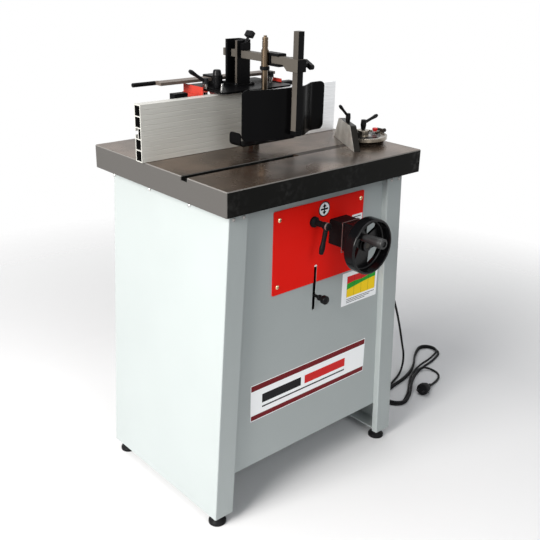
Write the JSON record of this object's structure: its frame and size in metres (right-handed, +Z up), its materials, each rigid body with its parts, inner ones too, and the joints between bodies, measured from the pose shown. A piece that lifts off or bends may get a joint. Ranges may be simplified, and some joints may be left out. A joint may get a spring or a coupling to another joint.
{
  "type": "spindle moulder",
  "caption": "Floor-standing spindle moulder: cast table on a splayed sheet cabinet, height handwheel, hooded fence, curved cutter guard, hold-down and sliding mitre gauge.",
  "frame": {"origin": "middle of the footprint on the floor, without the mains cord", "axes": "+Z up, -Y towards the handwheel side, +X towards the switch side"},
  "size_m": [1.1817, 0.65, 1.146],
  "materials": {
    "cast_iron_ground": "ground top, dark painted sides",
    "steel": "machined",
    "cabinet_paint": "satin light grey paint",
    "red_plate": "satin red",
    "black_metal": "satin black paint",
    "black_plastic": "satin black",
    "hood_red": "gloss orange-red paint",
    "aluminium": "natural anodised",
    "brass_rod": "passivated yellow zinc",
    "rubber": "matt",
    "grey_iron": "as cast, painted grey",
    "green_plastic": "moulded",
    "red_plastic": "moulded"
  },
  "bodies": {
    "stand": {"table": "cast_iron_ground", "insert_rings": "steel", "side_panel_left": "cabinet_paint", "side_panel_right": "cabinet_paint", "front_panel": "cabinet_paint", "control_plate": "red_plate", "rear_panel": "cabinet_paint", "floor_shelf": "cabinet_paint", "levelling_feet": "rubber", "bearing_block": "black_metal", "position_indicator": "black_plastic", "lift_gearbox": "grey_iron", "lift_guides": "steel", "switch_box": "black_plastic", "cord_gland": "black_plastic", "mains_cord": "rubber", "cord_hank": "rubber", "mains_plug": "black_plastic"},
    "lift": {"carriage": "grey_iron", "spindle_bearings": "steel", "motor": "aluminium", "drive_belt": "rubber"},
    "spindle": {"spindle": "steel", "arbor_rings": "steel", "spindle_pulley": "aluminium"},
    "motor_rotor": {"motor_pulley": "aluminium"},
    "spindle_lock": {"spindle_lock": "steel"},
    "handwheel": {"handwheel": "black_plastic", "handwheel_shaft": "steel"},
    "handwheel_grip": {"handwheel_grip": "black_plastic"},
    "lift_screw": {"lift_screw": "steel"},
    "height_lock_lever": {"height_lock_lever": "black_metal"},
    "rear_door": {"rear_door": "cabinet_paint"},
    "fence": {"fence_base": "black_metal", "hood": "hood_red", "cover_plate": "black_metal", "guard_column": "black_metal"},
    "fence_left": {"fence_board_left": "aluminium", "fence_carrier_left": "black_metal"},
    "fence_right": {"fence_board_right": "aluminium", "fence_carrier_right": "black_metal"},
    "clamp_lever_left": {"clamp_lever_left": "black_metal"},
    "clamp_lever_right": {"clamp_lever_right": "black_metal"},
    "cover_knob": {"cover_knob": "black_metal"},
    "side_arm": {"side_arm": "steel"},
    "guard_arm": {"guard_arm": "steel", "rod_clamp": "black_metal"},
    "arm_screw": {"arm_screw": "black_plastic"},
    "guard_post": {"guard_post": "steel", "guard": "black_metal"},
    "post_knob": {"post_knob": "black_plastic"},
    "hold_down": {"hold_down_rod": "brass_rod", "hold_down_shoe": "black_metal"},
    "mitre_gauge": {"gauge_bar": "steel"},
    "gauge_head": {"gauge_head": "aluminium", "gauge_protractor": "black_metal"},
    "gauge_face_lever": {"gauge_face_lever": "black_metal"},
    "gauge_pivot_lever": {"gauge_pivot_lever": "black_metal"},
    "start_button": {"start_button": "green_plastic"},
    "stop_button": {"stop_button": "red_plastic"}
  },
  "joints": [
    {"name": "spindle_height", "type": "slide", "parent": "stand", "child": "lift", "axis": [0, 0, 1], "range_m": [-0.03, 0.07]},
    {"name": "spindle_turn", "type": "hinge", "parent": "lift", "child": "spindle", "pos_m": [-0.0122, 0.13775, 0.7], "axis": [0, 0, 1], "continuous": true},
    {"name": "motor_turn", "type": "hinge", "parent": "lift", "child": "motor_rotor", "pos_m": [-0.1772, 0.15275, 0.5], "axis": [0, 0, 1], "continuous": true},
    {"name": "spindle_lock_push", "type": "slide", "parent": "lift", "child": "spindle_lock", "axis": [0, 1, 0], "range_m": [0, 0.008]},
    {"name": "handwheel_turn", "type": "hinge", "parent": "stand", "child": "handwheel", "pos_m": [0.0568, -0.22175, 0.676], "axis": [0, 1, 0], "range_deg": [-1081, 2521]},
    {"name": "handwheel_grip_turn", "type": "hinge", "parent": "handwheel", "child": "handwheel_grip", "pos_m": [0.02639, -0.28175, 0.70641], "axis": [0, 1, 0], "continuous": true},
    {"name": "lift_screw_turn", "type": "hinge", "parent": "stand", "child": "lift_screw", "pos_m": [0.0568, 0.01775, 0.5], "axis": [0, 0, 1], "range_deg": [-2161, 5041]},
    {"name": "height_lock_turn", "type": "hinge", "parent": "stand", "child": "height_lock_lever", "pos_m": [-0.0272, -0.15225, 0.726], "axis": [0, 1, 0], "range_deg": [0, 90]},
    {"name": "rear_door_swing", "type": "hinge", "parent": "stand", "child": "rear_door", "pos_m": [-0.2022, 0.29305, 0.515], "axis": [0, 0, 1], "range_deg": [0, 110]},
    {"name": "fence_depth", "type": "slide", "parent": "stand", "child": "fence", "axis": [0, 1, 0], "range_m": [-0.015, 0.012]},
    {"name": "fence_left_shift", "type": "slide", "parent": "fence", "child": "fence_left", "axis": [1, 0, 0], "range_m": [-0.02, 0]},
    {"name": "fence_right_shift", "type": "slide", "parent": "fence", "child": "fence_right", "axis": [1, 0, 0], "range_m": [0, 0.05]},
    {"name": "clamp_left_turn", "type": "hinge", "parent": "stand", "child": "clamp_lever_left", "pos_m": [-0.1162, 0.14275, 1.002], "axis": [0, 0, 1], "range_deg": [-60, 60]},
    {"name": "clamp_right_turn", "type": "hinge", "parent": "stand", "child": "clamp_lever_right", "pos_m": [0.0918, 0.14275, 1.002], "axis": [0, 0, 1], "range_deg": [-40, 60]},
    {"name": "cover_knob_turn", "type": "hinge", "parent": "fence", "child": "cover_knob", "pos_m": [-0.0892, 0.13275, 1.002], "axis": [0, 0, 1], "continuous": true},
    {"name": "side_arm_shift", "type": "slide", "parent": "fence", "child": "side_arm", "axis": [1, 0, 0], "range_m": [-0.02, 0.04]},
    {"name": "guard_arm_shift", "type": "slide", "parent": "fence", "child": "guard_arm", "axis": [0, 1, 0], "range_m": [-0.02, 0.03]},
    {"name": "arm_screw_turn", "type": "hinge", "parent": "fence", "child": "arm_screw", "pos_m": [-0.0122, 0.11975, 1.104], "axis": [0.5736, 0, 0.8192], "continuous": true},
    {"name": "guard_height", "type": "slide", "parent": "guard_arm", "child": "guard_post", "axis": [0, 0, 1], "range_m": [-0.04, 0.03]},
    {"name": "post_knob_turn", "type": "hinge", "parent": "guard_arm", "child": "post_knob", "pos_m": [-0.0032, -0.06625, 1.0715], "axis": [1, 0, 0], "continuous": true},
    {"name": "hold_down_height", "type": "slide", "parent": "guard_arm", "child": "hold_down", "axis": [0, 0, 1], "range_m": [-0.02, 0.05]},
    {"name": "gauge_slide", "type": "slide", "parent": "stand", "child": "mitre_gauge", "axis": [1, 0, 0], "range_m": [0, 0.12]},
    {"name": "gauge_swivel", "type": "hinge", "parent": "mitre_gauge", "child": "gauge_head", "pos_m": [0.2408, -0.05025, 0.9153], "axis": [0, 0, 1], "range_deg": [-30, 90]},
    {"name": "gauge_face_lever_turn", "type": "hinge", "parent": "gauge_head", "child": "gauge_face_lever", "pos_m": [0.19066, -0.04209, 0.9153], "axis": [0, 0, 1], "continuous": true},
    {"name": "gauge_pivot_lever_turn", "type": "hinge", "parent": "mitre_gauge", "child": "gauge_pivot_lever", "pos_m": [0.2408, -0.05025, 0.893], "axis": [0, 0, 1], "range_deg": [-30, 90]},
    {"name": "start_push", "type": "slide", "parent": "stand", "child": "start_button", "axis": [-0.9987, 0, -0.0516], "range_m": [0, 0.003], "stiffness_N_per_m": 400},
    {"name": "stop_push", "type": "slide", "parent": "stand", "child": "stop_button", "axis": [-0.9987, 0, -0.0516], "range_m": [0, 0.003], "stiffness_N_per_m": 400}
  ],
  "couplings": [
    {"joint": "motor_turn", "follows": "spindle_turn", "ratio": 1.0227},
    {"joint": "handwheel_turn", "follows": "spindle_height", "rad_per_m": 628.32},
    {"joint": "lift_screw_turn", "follows": "spindle_height", "rad_per_m": 1256.6}
  ]
}
